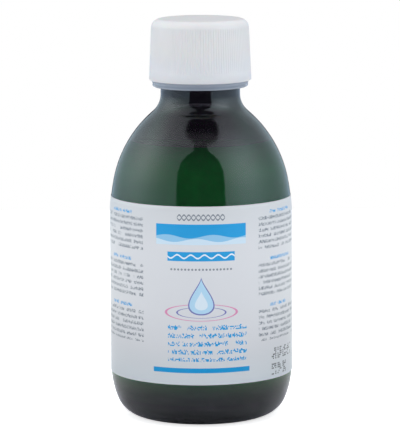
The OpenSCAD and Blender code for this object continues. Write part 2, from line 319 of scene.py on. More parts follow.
floor_paper, add, shader = new_finish("white_floor_paper", "#f6f6f6", 0.8, 1.5)
shader.inputs["Specular IOR Level"].default_value = 0.0
rays = add("ShaderNodeLightPath")
place = add("ShaderNodeTexCoord").outputs["Object"]
fibres = add("ShaderNodeTexNoise", [("Vector", place), ("Scale", 1 / (2 * MM)), ("Detail", 4.0)])
paper = add("ShaderNodeMix", [("Factor", fibres), ("A", srgb("#f3f3f3")), ("B", srgb("#f9f9f9"))],
            data_type="RGBA")
spot = add("ShaderNodeSeparateXYZ", [(0, place)])
# Painted shade: in mirrored rays the floor's colour is greyer near the bottle's middle.
aside = add("ShaderNodeMath", [(0, spot.outputs["X"])], operation="ABSOLUTE")
painted_shade_fade = add("ShaderNodeMapRange", [("Value", aside), ("From Min", SHADE_NEAR), ("From Max", SHADE_FAR)])
painted_shade_in_mirror = add("ShaderNodeMix", [("Factor", painted_shade_fade), ("A", srgb("#d0d0da")), ("B", srgb("#f8fbf8"))],
                  data_type="RGBA")
paper_or_painted_shade = add("ShaderNodeMix",
                [("Factor", rays.outputs["Is Glossy Ray"]), ("A", paper), ("B", painted_shade_in_mirror)],
                data_type="RGBA")
feed(shader, [("Base Color", paper_or_painted_shade)])
glow = add("ShaderNodeMath", [(0, rays.outputs["Is Camera Ray"]), (1, FLOOR_GLOW)], operation="MULTIPLY")
shader.inputs["Emission Color"].default_value = (1, 1, 1, 1)
feed(shader, [("Emission Strength", glow)])
bpy.ops.object.select_all(action="DESELECT")
bpy.ops.mesh.primitive_plane_add(size=FLOOR_SIZE, location=(0, 0, 0))
floor = bpy.context.object
floor.name = "floor"
give(floor, floor_paper)
floor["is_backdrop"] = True
print("floor is", FLOOR_SIZE, "m wide")

# %% [markdown]
# All the bottle's pieces are round, so each is turned like a pot: half of its outline is drawn in
# the plane of X and Z and then spun about Z. The pen starts as one vertex. A straight stroke
# extrudes it, and a round stroke spins it about the arc's centre, so that every arc is a true one.

# %% Pen and lathe
MERGE, SMOOTH_BELOW = 0.002 * MM, 30.0


def start_outline(name, r, z):
    """Adds a plane, merges its corners to one vertex and moves that to the outline's first point."""
    bpy.ops.object.select_all(action="DESELECT")
    bpy.ops.mesh.primitive_plane_add(size=MM, location=(0, 0, 0))
    piece = bpy.context.object
    piece.name = piece.data.name = name
    bpy.ops.object.mode_set(mode="EDIT")
    bpy.ops.mesh.select_all(action="SELECT")
    bpy.ops.mesh.merge(type="CENTER")
    bpy.ops.transform.translate(value=(r, 0, z))
    return piece


def draw(point, strokes):
    """Draws on from a point. A stroke is a next point, or a centre with degrees and a number of steps."""
    for stroke in strokes:
        if len(stroke) == 2:
            shift = (stroke[0] - point[0], 0, stroke[1] - point[1])
            bpy.ops.mesh.extrude_region_move(TRANSFORM_OT_translate={"value": shift})
            point = stroke
        else:
            centre, degrees, steps = stroke
            bpy.ops.mesh.spin(steps=steps, angle=math.radians(degrees), center=(centre[0], 0, centre[1]),
                              axis=(0, 1, 0))
            a = math.radians(degrees)
            r, z = point[0] - centre[0], point[1] - centre[1]
            point = (centre[0] + r * math.cos(a) - z * math.sin(a),
                     centre[1] + r * math.sin(a) + z * math.cos(a))
    return point


def lathe(piece, steps, degrees=360.0, smooth_below=SMOOTH_BELOW):
    """Spins the drawn outline about Z and closes it."""
    bpy.ops.mesh.select_all(action="SELECT")
    bpy.ops.mesh.spin(steps=steps, angle=math.radians(degrees), center=(0, 0, 0), axis=(0, 0, 1))
    bpy.ops.mesh.select_all(action="SELECT")
    bpy.ops.mesh.remove_doubles(threshold=MERGE)
    bpy.ops.mesh.normals_make_consistent(inside=False)
    bpy.ops.object.mode_set(mode="OBJECT")
    bpy.ops.object.shade_smooth_by_angle(angle=math.radians(smooth_below))
    print(piece.name, "has", len(piece.data.polygons), "faces")


def turned(name, start, strokes, steps, **spin):
    """A piece turned from a start point and its strokes."""
    piece = start_outline(name, *start)
    draw(start, strokes)
    lathe(piece, steps, **spin)
    return piece


# %% [markdown]
# The body's outline is a chain of arcs that run into each other without a kink: foot, heel, upright
# wall, long shoulder, the tighter turn, the hollow below the neck, and the neck. The radii were
# found on the real shape; the centres follow from them. The same chain, set in by the wall's
# thickness, is the inside, and the liquid and the label follow it too.

# %% Outline of the body
body_r = box["bottle"][1].x
lip_z = box["bottle"][1].z
neck_r = 12.5 * MM
bore_r = frame["record"]["mounts"][1]["dims"]["r_mm"] * MM
WALL = 0.8 * MM
heel_r, heel_turn = 28.5 * MM, 21.3
foot_r, ring_w, push_up = 8.9 * MM, 1.6 * MM, 4.0 * MM
wall_height = 46.9 * MM
shoulder_r, shoulder_turn = 64.3 * MM, 11.4
turn_slope = 49.5
cove_r = 7.3 * MM
ARC_STEPS = {"foot": 14, "heel": 12, "shoulder": 6, "turn": 24, "cove": 14, "dome": 14}


def from_centre(centre, radius, degrees):
    """Point on a circle of the outline, with 0 degrees straight out."""
    a = math.radians(degrees)
    return (centre[0] + radius * math.cos(a), centre[1] + radius * math.sin(a))


cos_s, cos_t = math.cos(math.radians(shoulder_turn)), math.cos(math.radians(turn_slope))
turn_r = (body_r - neck_r - shoulder_r * (1 - cos_s) - cove_r * (1 - cos_t)) / (cos_s - cos_t)
wall_low = foot_r + (heel_r - foot_r) * math.sin(math.radians(heel_turn))
wall_high = wall_low + wall_height
foot_c = (body_r - heel_r + (heel_r - foot_r) * math.cos(math.radians(heel_turn)), foot_r)
heel_c = (body_r - heel_r, wall_low)
shoulder_c = (body_r - shoulder_r, wall_high)
turn_c = from_centre(shoulder_c, shoulder_r - turn_r, shoulder_turn)
cove_c = from_centre(turn_c, turn_r + cove_r, turn_slope)
neck_z = cove_c[1]
dome_edge = foot_c[0] - ring_w
dome_r = (dome_edge ** 2 + push_up ** 2) / (2 * push_up)
dome_c = (0, push_up - dome_r)
print("in mm, wall from", round(wall_low / MM, 2), "to", round(wall_high / MM, 2), "and neck from",
      round(neck_z / MM, 2))

# %% [markdown]
# The line up the body is worked out as points on those arcs, so that it can be set in by a wall. A
# blown wall isn't even: it may be thicker at the foot and towards the neck, with a soft change.

# %% Line up the body
def ease(share):
    """Soft start and end between 0 and 1."""
    share = min(1, max(0, share))
    return share * share * (3 - 2 * share)


def arc_points(centre, radius_at, first, last, steps):
    """Points along an arc whose radius may change with the share of the way."""
    shares = [i / steps for i in range(steps + 1)]
    return [from_centre(centre, radius_at(share), first + (last - first) * share) for share in shares]


def body_line(wall, foot_extra=0.0, neck_extra=0.0):
    """Points up the body, set in by the wall, which may be thicker at the foot and towards the neck."""
    line = arc_points(foot_c, lambda share: foot_r - wall - foot_extra, -90, -heel_turn, ARC_STEPS["foot"])
    line += arc_points(heel_c, lambda share: heel_r - wall - foot_extra * ease(1 - share), -heel_turn, 0,
                       ARC_STEPS["heel"])[1:]
    line += arc_points(shoulder_c, lambda share: shoulder_r - wall, 0, shoulder_turn, ARC_STEPS["shoulder"])
    line += arc_points(turn_c, lambda share: turn_r - wall - neck_extra * ease(2 * share - 1),
                       shoulder_turn, turn_slope, ARC_STEPS["turn"])[1:]
    line += arc_points(cove_c, lambda share: cove_r + wall + neck_extra, 180 + turn_slope, 180,
                       ARC_STEPS["cove"])[1:]
    return line


def dome_start(inset):
    """Inner edge of the standing ring, and the push-up's angle there."""
    r = math.sqrt((dome_r + inset) ** 2 - (inset - dome_c[1]) ** 2)
    return (r, inset), math.degrees(math.atan2(inset - dome_c[1], r))


print("the line up the body has", len(body_line(0)), "points")

# %% [markdown]
# The bottle is blow-moulded from a dark tinted clear plastic, and its wall is under a millimetre
# thick. Glass-like pieces need both faces of the wall, or light bends as in a solid block. So the
# outline runs up the outside, over the lip and down the inside in one go. The wall is thicker in
# the foot and towards the neck, where a blown bottle stretches least, and so it is darker there.

# %% Bottle
bead_r, bead_h, bead_land, bead_gap = 14.0 * MM, 1.2 * MM, 0.4 * MM, 0.2 * MM
bead_low = box["inner_cap"][0].z - bead_gap - bead_h
lip_chamfer = 0.35 * MM
FOOT_EXTRA = 1.2 * MM
NECK_EXTRA = neck_r - bore_r - WALL
GATE_R, GATE_H, GATE_TAPER = 1.6 * MM, 0.35 * MM, 0.8
ROUND_STEPS = 256

edge_angle = dome_start(0)[1]
(inner_edge_r, inner_edge_z), inner_edge_angle = dome_start(WALL + FOOT_EXTRA)
gate_z = dome_c[1] + math.sqrt(dome_r ** 2 - GATE_R ** 2)
gate_angle = math.degrees(math.acos(GATE_R / dome_r))
start = (0, gate_z - GATE_H)
outside = [(GATE_R * GATE_TAPER, gate_z - GATE_H), (GATE_R, gate_z),
           (dome_c, edge_angle - gate_angle, ARC_STEPS["dome"])]
outside += body_line(0)
finish_strokes = [
    (neck_r, bead_low),
    (bead_r, bead_low),
    (bead_r, bead_low + bead_land),
    (neck_r, bead_low + bead_h),
    (neck_r, lip_z - lip_chamfer),
    (neck_r - lip_chamfer, lip_z),
    (bore_r + lip_chamfer, lip_z),
    (bore_r, lip_z - lip_chamfer),
]
inside = body_line(WALL, FOOT_EXTRA, NECK_EXTRA)[::-1]
inside += [(inner_edge_r, inner_edge_z), (dome_c, 90 - inner_edge_angle, ARC_STEPS["dome"])]
bottle = turned("blown_bottle", start, outside + finish_strokes + inside, ROUND_STEPS)

# %% [markdown]
# The screw thread stands on the neck under the cap and shows when the cap is off. One section of
# it is drawn, and the Screw modifier sweeps it one and three quarter turns up the neck. Its ends
# run out into the wall, as a moulded thread's do.

# %% Neck thread
THREAD_H, PITCH, THREAD_TURNS = 1.15 * MM, 3.18 * MM, 1.75
CREST_W, FLANK, RUN_OUT = 0.85 * MM, 30.0, 0.12
THREAD_STEPS, THREAD_DROP, THREAD_SINK, LEAST_RISE = 84, 3.5 * MM, 0.15 * MM, 0.04
root_r, crest_r = neck_r - THREAD_SINK, neck_r + THREAD_H
root_w = CREST_W + 2 * (crest_r - root_r) * math.tan(math.radians(FLANK))
thread_z = lip_z - THREAD_DROP - THREAD_TURNS * PITCH
section = [(root_r, thread_z - root_w / 2), (crest_r, thread_z - CREST_W / 2),
           (crest_r, thread_z + CREST_W / 2), (root_r, thread_z + root_w / 2)]
thread = start_outline("neck_thread", *section[0])
draw(section[0], section[1:])
bpy.ops.mesh.select_all(action="SELECT")
bpy.ops.mesh.edge_face_add()
bpy.ops.object.mode_set(mode="OBJECT")
bpy.ops.object.modifier_add(type="SCREW")
helix = thread.modifiers[0]
helix.angle, helix.screw_offset = THREAD_TURNS * math.tau, THREAD_TURNS * PITCH
helix.steps = helix.render_steps = THREAD_STEPS
bpy.ops.object.modifier_apply(modifier=helix.name)
for corner in thread.data.vertices:
    x, y, z = corner.co
    r, share = math.hypot(x, y), math.atan2(y, x) / math.tau
    turn = share + round((z - thread_z) / PITCH - share)
    rise = min(1, max(LEAST_RISE, min(turn, THREAD_TURNS - turn) / RUN_OUT))
    if r > (root_r + crest_r) / 2:
        corner.co.x *= (root_r + (crest_r - root_r) * rise) / r
        corner.co.y *= (root_r + (crest_r - root_r) * rise) / r
bpy.ops.object.mode_set(mode="EDIT")
bpy.ops.mesh.select_all(action="SELECT")
bpy.ops.mesh.fill_holes(sides=4)
bpy.ops.mesh.select_all(action="SELECT")
bpy.ops.mesh.normals_make_consistent(inside=False)
bpy.ops.object.mode_set(mode="OBJECT")
print("thread from", round(min(v.co.z for v in thread.data.vertices) / MM, 2), "to",
      round(max(v.co.z for v in thread.data.vertices) / MM, 2), "mm")

# %% [markdown]
# Neck and thread are one piece of plastic, so Boolean joins them. Its manifold solver keeps the
# wall closed, which a clear piece needs.

# %% Thread on the neck
bpy.ops.object.select_all(action="DESELECT")
bpy.context.view_layer.objects.active = bottle
bottle.select_set(True)
bpy.ops.object.modifier_add(type="BOOLEAN")
joined = bottle.modifiers[0]
joined.operation, joined.solver, joined.object = "UNION", "MANIFOLD", thread
bpy.ops.object.modifier_apply(modifier=joined.name)
bpy.data.objects.remove(thread)
bpy.ops.object.shade_smooth_by_angle(angle=math.radians(SMOOTH_BELOW))
print("bottle with its thread has", len(bottle.data.polygons), "faces")

# %% [markdown]
# The plastic is PET: clear, very glossy, index 1.575. A dark tint in it hides the light that comes
# from behind. The tint is set as absorption in the wall, so that thick places are darker. The two
# halves of the mould leave a fine parting line, and the wall is never quite even.

# %% Finish of the bottle
dark_pet, add, shader = new_finish("dark_tinted_pet", "#ffffff", 0.02, 1.575)
shader.inputs["Transmission Weight"].default_value = 1.0
smoke = add("ShaderNodeVolumeAbsorption", [("Color", srgb("#88868c")), ("Density", 1400.0)])
feed(dark_pet.node_tree.nodes["Material Output"], [("Volume", smoke)])
place = add("ShaderNodeTexCoord").outputs["Object"]
PARTING_W, PARTING_H = 0.16 * MM, 0.04 * MM
WAVE_L, WAVE_H = 9.0 * MM, 0.012 * MM
spot = add("ShaderNodeSeparateXYZ", [(0, place)])
parting = add("ShaderNodeMath", [(0, spot.outputs["Y"]), (1, 0.0), (2, PARTING_W / 2)], operation="COMPARE")
waves = add("ShaderNodeTexNoise", [("Vector", place), ("Scale", 1 / WAVE_L), ("Detail", 1.0)])
raised = add("ShaderNodeMath", [(0, parting), (1, PARTING_H / WAVE_H), (2, waves)], operation="MULTIPLY_ADD")
bump = add("ShaderNodeBump", [("Height", raised), ("Distance", WAVE_H), ("Strength", 1.0)])
feed(shader, [("Normal", bump)])
haze = add("ShaderNodeTexNoise", [("Vector", place), ("Scale", 1 / (20 * MM)), ("Detail", 3.0)])
gloss = add("ShaderNodeMapRange", [("Value", haze), ("To Min", 0.01), ("To Max", 0.05)])
feed(shader, [("Roughness", gloss)])
give(bottle, dark_pet)
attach(bottle, "bottle")
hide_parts("bottle")

# %% [markdown]
# The mouthwash fills the body to just below the neck. It is drawn with the same outline, set into
# the plastic by a hair so that no air shows between them, and its surface climbs the wall a little,
# as water does.

# %% Mouthwash
HAIR, CLIMB, CLIMB_STEPS = 0.05 * MM, 0.2 * MM, 6
fill_z = box["mouthwash"][1].z
liquid_angle = dome_start(WALL + FOOT_EXTRA - HAIR)[1]
climb_z = fill_z + CLIMB
liquid_line = body_line(WALL - HAIR, FOOT_EXTRA, NECK_EXTRA)
liquid_line = [point for point in liquid_line if point[1] < climb_z - CLIMB]
lean_in = (climb_z - liquid_line[-1][1]) * math.tan(math.asin((climb_z - turn_c[1]) / (turn_r - WALL)))
surface_r = liquid_line[-1][0] - lean_in
liquid_strokes = [(dome_c, liquid_angle - 90, ARC_STEPS["dome"]), *liquid_line, (surface_r, climb_z)]
liquid_strokes += [((surface_r - CLIMB, climb_z), -90, CLIMB_STEPS), (0, fill_z)]
liquid_foot = (0, push_up + WALL + FOOT_EXTRA - HAIR)
mouthwash = turned("green_mouthwash", liquid_foot, liquid_strokes, ROUND_STEPS, smooth_below=60)

# %% [markdown]
# The liquid is a deep green, index 1.34, that light barely passes. Painted shade makes it darker in
# the narrow foot and at the fill line: a ramp sets its tone by height.

# %% Colour of the mouthwash
LIQUID_TONES_WITH_SHADE = [(0.0, "#0a5030"), (7.0, "#0a6c40"), (13.0, "#0ce85a"), (79.0, "#0ce85a"), (87.5, "#0c903c")]
mint_liquid, add, shader = new_finish("green_mouthwash_liquid", "#10e068", 0.02, 1.34)
shader.inputs["Transmission Weight"].default_value = 0.25
spot = add("ShaderNodeSeparateXYZ", [(0, add("ShaderNodeTexCoord").outputs["Object"])])
# Painted shade: the ramp darkens the liquid at the foot and at the fill line.
up_share = add("ShaderNodeMapRange", [("Value", spot.outputs["Z"]), ("From Max", fill_z)])
depth = add("ShaderNodeValToRGB", [(0, up_share)])
fill_ramp(depth.color_ramp, [(height_mm * MM / fill_z, srgb(code)) for height_mm, code in LIQUID_TONES_WITH_SHADE])
feed(shader, [("Base Color", depth)])
give(mouthwash, mint_liquid)
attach(mouthwash, "bottle")
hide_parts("mouthwash")

# %% [markdown]
# The label is one strip of white plastic film. It goes once round the body, with a narrow gap at
# the back, and its upper edge leans in where the shoulder begins. It is turned on the lathe as an
# open band, given its thickness by Solidify, and gets a UV map in real metres for the print.

# %% Label
FILM = box["label"][1].x - body_r
SEAM, GLUE, LEAN_STEPS, LABEL_STEPS = 1.0 * MM, 0.03 * MM, 6, 358
label_low, label_high = box["label"][0].z, box["label"][1].z
film_r = body_r + GLUE
lean = math.degrees(math.asin((label_high - wall_high) / (shoulder_r + film_r - body_r)))
seam_angle = math.degrees(SEAM / body_r)
label = start_outline("wrap_label", film_r, label_low)
draw((film_r, label_low), [(film_r, wall_high), (shoulder_c, lean, LEAN_STEPS)])
bpy.ops.mesh.select_all(action="SELECT")
bpy.ops.transform.rotate(value=math.radians(-90 - seam_angle / 2), orient_axis="Z",
                         center_override=(0, 0, 0))
lathe(label, LABEL_STEPS, degrees=360 - seam_angle)
print("the label leans in by", round(lean, 1), "degrees at its upper edge")

film_map = label.data.uv_layers.new(name="film_metres")
for loop in label.data.loops:
    x, y, z = label.data.vertices[loop.vertex_index].co
    film_map.data[loop.index].uv = (math.atan2(x, -y) * body_r, z)

thickness = label.modifiers.new("film", "SOLIDIFY")
thickness.thickness = FILM - GLUE
thickness.offset = 1.0
bpy.context.view_layer.objects.active = label
bpy.ops.object.modifier_apply(modifier=thickness.name)

# %% [markdown]
# The print is made by masks on the film's UV map, in millimetres: across from the middle of the
# front, and up from the floor. Each mask is 1 where its ink lies, and the inks are laid one over
# another. A rectangle compares both distances with its middle.

# %% Masks of the print
label_film, add, shader = new_finish("satin_label_film", "#dbdce0", 0.38, 1.49)
film_place = add("ShaderNodeUVMap", uv_map="film_metres")
in_mm = add("ShaderNodeVectorMath", [(0, film_place), ("Scale", 1 / MM)], operation="SCALE")
spot = add("ShaderNodeSeparateXYZ", [(0, in_mm)])
across, up = spot.outputs["X"], spot.outputs["Y"]


def inked(ground, mask, code):
    """Prints an ink over the ground."""
    return add("ShaderNodeMix", [("Factor", mask), ("A", ground), ("B", srgb(code))], data_type="RGBA")


def both(first, second):
    """Mask that is 1 where two masks are."""
    return add("ShaderNodeMath", [(0, first), (1, second)], operation="MULTIPLY")


def patch(left, right, low, high):
    """Mask of a rectangle of the film."""
    sides = add("ShaderNodeMath", [(0, across), (1, (left + right) / 2), (2, (right - left) / 2)],
                operation="COMPARE")
    ends = add("ShaderNodeMath", [(0, up), (1, (low + high) / 2), (2, (high - low) / 2)], operation="COMPARE")
    return both(sides, ends)


print("the film's print starts with", len(label_film.node_tree.nodes), "nodes")

# %% [markdown]
# A wave is a sine of the way across. A drop and a ring are measured from their middles in shares of
# their own size, so that one comparison finds their edge.

# %% Waves, drop and ripples
def wave(height, swing, length, push):
    """Height of a wave over the film."""
    turn = add("ShaderNodeMath", [(0, across), (1, math.tau / length), (2, push)], operation="MULTIPLY_ADD")
    sine = add("ShaderNodeMath", [(0, turn)], operation="SINE")
    return add("ShaderNodeMath", [(0, sine), (1, swing), (2, height)], operation="MULTIPLY_ADD")


def drop(middle, half_height, half_width):
    """Mask of a water drop, round below and pointed on top.

    With t from -1 to 1 up the drop, its edge goes as (1 - t) * sqrt(1 - t * t), which reaches 1.3.
    """
    fullest = 1.3
    t = add("ShaderNodeMath", [(0, up), (1, 1 / half_height), (2, -middle / half_height)],
            operation="MULTIPLY_ADD")
    square = add("ShaderNodeMath", [(0, t), (1, t)], operation="MULTIPLY")
    rest = add("ShaderNodeMath", [(0, 1.0), (1, square)], operation="SUBTRACT", use_clamp=True)
    root = add("ShaderNodeMath", [(0, rest)], operation="SQRT")
    point = add("ShaderNodeMath", [(0, t), (1, -half_width / fullest), (2, half_width / fullest)],
                operation="MULTIPLY_ADD")
    side = add("ShaderNodeMath", [(0, across)], operation="ABSOLUTE")
    return add("ShaderNodeMath", [(0, side), (1, both(root, point))], operation="LESS_THAN")


def ripple(middle, half_width, half_height, half_line):
    """Mask of a thin flat ring. Half of its line's thickness is given as a share of the ring."""
    scaled = add("ShaderNodeVectorMath", [(0, in_mm), (1, (0, middle, 0))], operation="SUBTRACT")
    scaled = add("ShaderNodeVectorMath", [(0, scaled), (1, (1 / half_width, 1 / half_height, 0))],
                 operation="MULTIPLY")
    length = add("ShaderNodeVectorMath", [(0, scaled)], operation="LENGTH")
    return add("ShaderNodeMath", [(0, length), (1, 1.0), (2, half_line)], operation="COMPARE")


print("masks of waves, drops and ripples are ready")

# %% [markdown]
# The design is a plain one of water: waves in a blue panel, a drop over two ripples, and bars. It
# has no words or marks. The white under it carries painted light: a little cooler at the label's
# foot and darker towards its top.

# %% Picture on the front
BLUE_INK, PALE_INK, GREY_INK, WHITE_INK = "#009bdb", "#8fc6e9", "#808892", "#e4eef6"
VIOLET_INK, PINK_INK, BLACK_INK = "#6d6fb4", "#d98ab4", "#3c4046"
FILM_TONE_AND_PAINTED_LIGHT = [(14.4, "#d9e0e5"), (26.0, "#dbdce0"), (58.0, "#dbdce0"), (70.0, "#d2d4d7")]
PANEL, FOOT_BAR = (-14.4, 14.4, 58.4, 64.8), (-15.6, 15.6, 18.2, 19.7)
PANEL_SWING, PANEL_LENGTH = 0.55, 14.4
PANEL_WAVES = [(61.0, 0.0, PALE_INK), (59.8, 2.2, "#cfe4f3")]
RIPPLE_Z, RIPPLE_HALF_LINE = 37.2, 0.035
RIPPLES = [(7.6, 1.7, VIOLET_INK), (11.2, 2.6, PINK_INK)]
DROPS = [(42.4, 6.0, 4.1, VIOLET_INK), (42.3, 5.5, 3.7, "#b3d9f1"), (41.0, 3.0, 2.0, "#dcebf6")]

# Painted light: the film's white is cooler at the foot and darker towards the top.
film_up = add("ShaderNodeMath", [(0, up), (1, MM / label_high)], operation="MULTIPLY")
film_painted_light = add("ShaderNodeValToRGB", [(0, film_up)])
fill_ramp(film_painted_light.color_ramp, [(height_mm * MM / label_high, srgb(code)) for height_mm, code in FILM_TONE_AND_PAINTED_LIGHT])
panel = patch(*PANEL)
printed = inked(film_painted_light, panel, BLUE_INK)
for height_mm, push, ink in PANEL_WAVES:
    crest = wave(height_mm, PANEL_SWING, PANEL_LENGTH, push)
    under_wave = add("ShaderNodeMath", [(0, up), (1, crest)], operation="LESS_THAN")
    printed = inked(printed, both(panel, under_wave), ink)
printed = inked(printed, patch(*FOOT_BAR), BLUE_INK)
for half_width, half_height, ink in RIPPLES:
    printed = inked(printed, ripple(RIPPLE_Z, half_width, half_height, RIPPLE_HALF_LINE), ink)
for middle, half_height, half_width, ink in DROPS:
    printed = inked(printed, drop(middle, half_height, half_width), ink)
print("the picture has", len(label_film.node_tree.nodes), "nodes")

# %% [markdown]
# A plait of two wavy lines stands over the panel, and a bar with a wavy line and a row of dots
# under it. They give the front its rhythm of large and small lines.

# %% Lines on the front
PLAIT, BAR, DOTS = (-7.5, 7.5, 65.4, 68.4), (-10.6, 10.6, 53.3, 56.2), (-9.9, 9.9, 49.9, 51.5)
LINE_W = 0.5


def wavy_line(height, swing, length, push, thickness):
    """Mask of a line that runs in waves."""
    middle = wave(height, swing, length, push)
    return add("ShaderNodeMath", [(0, up), (1, middle), (2, thickness / 2)], operation="COMPARE")


def dot_row(height, pitch, radius):
    """Mask of a row of round dots."""
    steps = add("ShaderNodeMath", [(0, across), (1, 1 / pitch)], operation="MULTIPLY")
    part = add("ShaderNodeMath", [(0, steps)], operation="FRACT")
    rise = add("ShaderNodeMath", [(0, up), (1, 1 / pitch), (2, -height / pitch)], operation="MULTIPLY_ADD")
    place = add("ShaderNodeCombineXYZ", [("X", part), ("Y", rise)])
    away = add("ShaderNodeVectorMath", [(0, place), (1, (0.5, 0, 0))], operation="DISTANCE")
    return add("ShaderNodeMath", [(0, away), (1, radius / pitch)], operation="LESS_THAN")


for push in (0, math.pi):
    plait = wavy_line(height=66.9, swing=0.8, length=3.0, push=push, thickness=LINE_W)
    printed = inked(printed, both(patch(*PLAIT), plait), GREY_INK)
bar = patch(*BAR)
printed = inked(printed, bar, BLUE_INK)
in_bar = wavy_line(height=54.75, swing=0.55, length=4.24, push=0.0, thickness=LINE_W)
printed = inked(printed, both(bar, in_bar), WHITE_INK)
printed = inked(printed, both(patch(*DOTS), dot_row(height=50.7, pitch=1.1, radius=0.33)), GREY_INK)
print("the lines bring it to", len(label_film.node_tree.nodes), "nodes")

# %% [markdown]
# Small print can't be read at this size, so it is only strokes: a fine mosaic of random cells,
# broken into words by noise and into lines by height. A list of five lines stands on the front.
# Columns go on round to the back. A paragraph takes eight lines: a blue one at its head, six of
# text and a free one.

# %% Small print
CELL_W, CELL_ROWS = 0.19, 4
WORDS_IN_SIZE, WORD_LEVEL, LINE_SHIFT = 0.55, 0.32, 37.0
LIST = (-10.6, 14.6, 21.8, 33.2)
COLUMNS = [(-41.0, -19.4), (19.2, 41.0), (-68.0, -46.5), (46.5, 68.0)]
COLUMN_TOP, COLUMN_LOW = 68.0, 27.0
PARAGRAPH, NOT_BODY, HEADING_IN = 8, 1.1, 5


def small_print(top, pitch, size, seed, cover):
    """Mask of small print down from a height, and the number of the line."""
    line = add("ShaderNodeMath", [(0, up), (1, -1 / pitch), (2, top / pitch)], operation="MULTIPLY_ADD")
    number = add("ShaderNodeMath", [(0, line)], operation="FLOOR")
    part = add("ShaderNodeMath", [(0, line)], operation="FRACT")
    on_line = add("ShaderNodeMath", [(0, part), (1, size / pitch)], operation="LESS_THAN")
    own = add("ShaderNodeMath", [(0, number), (1, LINE_SHIFT), (2, seed)], operation="MULTIPLY_ADD")
    along = add("ShaderNodeCombineXYZ", [("X", across), ("Y", own)])
    words = add("ShaderNodeTexNoise", [("Vector", along), ("Scale", WORDS_IN_SIZE / size), ("Detail", 0.0)],
                noise_dimensions="2D")
    word = add("ShaderNodeMath", [(0, words), (1, WORD_LEVEL)], operation="GREATER_THAN")
    column = add("ShaderNodeMath", [(0, across), (1, 1 / (CELL_W * size))], operation="MULTIPLY")
    column = add("ShaderNodeMath", [(0, column)], operation="FLOOR")
    row = add("ShaderNodeMath", [(0, part), (1, CELL_ROWS * pitch / size)], operation="MULTIPLY")
    row = add("ShaderNodeMath", [(0, row)], operation="FLOOR")
    cell_key = add("ShaderNodeCombineXYZ", [("X", column), ("Y", own), ("Z", row)])
    chance = add("ShaderNodeTexWhiteNoise", [("Vector", cell_key)], noise_dimensions="3D")
    limit = add("ShaderNodeMapRange", [("Value", row), ("To Min", 1 - cover / 2), ("To Max", 1 - cover)])
    filled = add("ShaderNodeMath", [(0, chance), (1, limit)], operation="GREATER_THAN")
    return both(both(on_line, word), filled), number


strokes = small_print(top=LIST[3], pitch=2.55, size=1.5, seed=33.9, cover=0.48)[0]
printed = inked(printed, both(patch(*LIST), strokes), BLUE_INK)
strokes, number = small_print(top=COLUMN_TOP, pitch=1.83, size=1.05, seed=71.0, cover=0.58)
in_paragraph = add("ShaderNodeMath", [(0, number), (1, float(PARAGRAPH))], operation="MODULO")
heading = add("ShaderNodeMath", [(0, in_paragraph), (1, 0.5)], operation="LESS_THAN")
full = add("ShaderNodeMath", [(0, in_paragraph), (1, (PARAGRAPH - 1) / 2), (2, PARAGRAPH / 2 - NOT_BODY)],
           operation="COMPARE")
for left, right in COLUMNS:
    body = both(patch(left, right, COLUMN_LOW, COLUMN_TOP), strokes)
    printed = inked(printed, both(body, full), GREY_INK)
    head = both(patch(left + HEADING_IN, right - HEADING_IN, COLUMN_LOW, COLUMN_TOP), strokes)
    printed = inked(printed, both(head, heading), BLUE_INK)
print("the small print brings it to", len(label_film.node_tree.nodes), "nodes")

# %% [markdown]
# Two short rows of signs stand low on the right, in dots, as an ink jet prints them on a filled
# bottle. Each sign is four dots wide and six high, and chance says which dots are struck, so they
# spell nothing.

# %% Ink jet dots
DOT, DOT_R, UNSTRUCK, SIGN_STEP, SIGN_W, SIGN_ROWS = 0.62, 0.42, 0.45, 5.0, 4, 6
SIGNS_LEFT, SIGNS = 24.8, [(20.46, 37.8), (15.5, 34.0)]

grid = add("ShaderNodeVectorMath", [(0, in_mm), ("Scale", 1 / DOT)], operation="SCALE")
cell = add("ShaderNodeVectorMath", [(0, grid)], operation="FLOOR")
in_cell = add("ShaderNodeVectorMath", [(0, grid)], operation="FRACTION")
off_middle = add("ShaderNodeVectorMath", [(0, in_cell), (1, (0.5, 0.5, 0))], operation="DISTANCE")
round_dot = add("ShaderNodeMath", [(0, off_middle), (1, DOT_R)], operation="LESS_THAN")
chance = add("ShaderNodeTexWhiteNoise", [("Vector", cell)], noise_dimensions="2D")
struck = add("ShaderNodeMath", [(0, chance), (1, UNSTRUCK)], operation="GREATER_THAN")
cell_spot = add("ShaderNodeSeparateXYZ", [(0, cell)])
space = add("ShaderNodeMath", [(0, cell_spot.outputs["X"]), (1, SIGN_STEP)], operation="MODULO")
sign = add("ShaderNodeMath", [(0, space), (1, SIGN_W - 0.5)], operation="LESS_THAN")
dots = both(both(round_dot, struck), sign)
for low, right in SIGNS:
    printed = inked(printed, both(patch(SIGNS_LEFT, right, low, low + SIGN_ROWS * DOT), dots), BLACK_INK)
print("the whole print has", len(label_film.node_tree.nodes), "nodes")

# %% [markdown]
# The film itself is satin polypropylene. It lies on the round wall with very slight waves from the
# glue, and its skin has a fine grain, which breaks up the shine. Both are a noise of a real size,
# one laid over the other. The cap's moulded skins are made in the same way.

# %% Film
def relief(add, place, size, depth, under=()):
    """Bumps of a noise of one size, laid over the normal that is given as an input pair."""
    noise = add("ShaderNodeTexNoise", [("Vector", place), ("Scale", 1 / size), ("Detail", 2.0)])
    return add("ShaderNodeBump", [("Height", noise), ("Distance", depth), *under])


glue_waves = relief(add, film_place, size=14 * MM, depth=0.03 * MM)
grain = relief(add, film_place, size=0.5 * MM, depth=0.004 * MM, under=[("Normal", glue_waves)])
feed(shader, [("Base Color", printed), ("Normal", grain)])
give(label, label_film)
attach(label, "bottle")
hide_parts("label")

# %% [markdown]
# The cap's outer shell is moulded in white polypropylene. Its side leans in a little, so that it
# leaves the mould. The shell is turned as one closed section, outside and inside, with six columns
# of faces for each of the 120 fine grooves that run up it.

